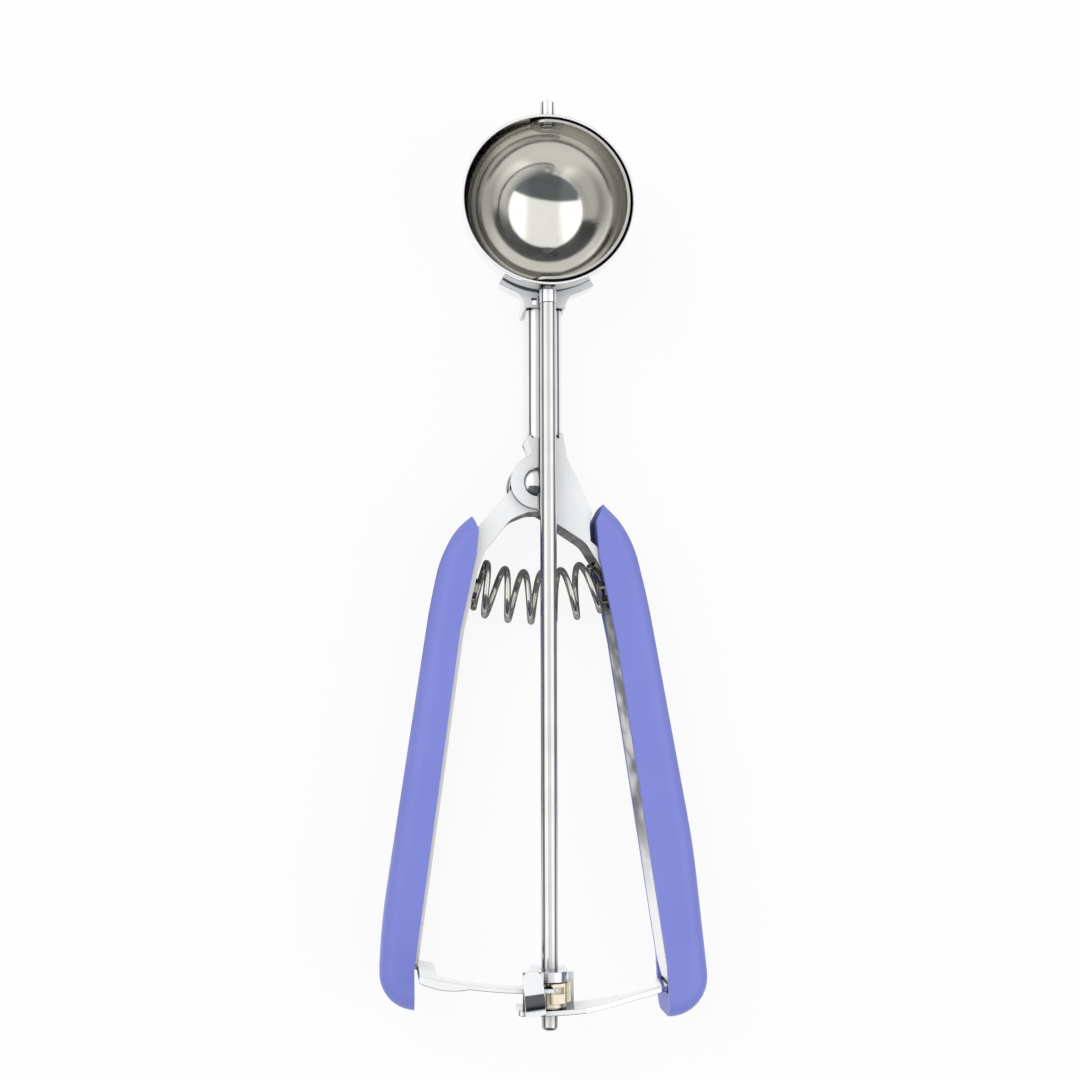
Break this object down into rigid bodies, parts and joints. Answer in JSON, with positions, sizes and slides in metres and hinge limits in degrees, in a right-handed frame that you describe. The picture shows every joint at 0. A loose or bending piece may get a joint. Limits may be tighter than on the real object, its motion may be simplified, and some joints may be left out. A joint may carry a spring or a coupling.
{
  "type": "lever ice cream scoop",
  "caption": "Squeeze-handle ice cream scoop: hinged sprung handles drive a rack and pinion that sweeps a curved scraper round a small hemispherical bowl.",
  "frame": {"origin": "centre of the bounding box's footprint, at the bowl's lowest point", "axes": "+Y along the tool from the handles to the bowl, +Z out of the bowl's mouth, +X to the fixed handle"},
  "size_m": [0.0794, 0.2264, 0.0325],
  "materials": {
    "bowl_steel": "satin, spun brushing round the bowl",
    "scraper_steel": "satin, brushed along the band",
    "chromed_sheet": "bright chromium plating on pressed sheet",
    "rivet_steel": "bright plated",
    "shaft_steel": "bright plated rod",
    "spring_wire": "drawn spring wire",
    "pinion_brass": "machined",
    "grip_plastic": "smooth lavender plastic"
  },
  "bodies": {
    "frame": {"bowl": "bowl_steel", "bowl_saddle": "chromed_sheet", "shaft_bush": "chromed_sheet", "handle_frame": "chromed_sheet", "pivot_rivet": "rivet_steel", "pivot_washers": "rivet_steel", "right_grip": "grip_plastic", "guide_bar": "chromed_sheet", "bar_rivets": "rivet_steel", "spring_seat_right": "rivet_steel", "return_spring": "spring_wire"},
    "lever": {"left_lever": "chromed_sheet", "lever_spacer": "rivet_steel", "left_grip": "grip_plastic", "rack": "chromed_sheet", "rack_rivets": "rivet_steel", "spring_seat_left": "rivet_steel"},
    "shaft": {"shaft": "shaft_steel", "pinion": "pinion_brass", "pinion_pin": "shaft_steel", "thrust_washer": "rivet_steel", "end_cap": "rivet_steel", "scraper": "scraper_steel", "scraper_stud": "rivet_steel"}
  },
  "joints": [
    {"name": "lever_squeeze", "type": "hinge", "parent": "frame", "child": "lever", "pos_m": [-0.00167, 0.01823, 0.0107], "axis": [0, 0, 1], "range_deg": [0, 6.71], "stiffness_Nm_per_rad": 0.9, "springref_deg": -20.05, "deforming": ["return_spring"]},
    {"name": "blade_sweep", "type": "hinge", "parent": "frame", "child": "shaft", "pos_m": [0.00053, 0.01823, 0.0215], "axis": [0, 1, 0], "range_deg": [0, 180]}
  ],
  "couplings": [
    {"joint": "blade_sweep", "follows": "lever_squeeze", "ratio": 26.844}
  ]
}
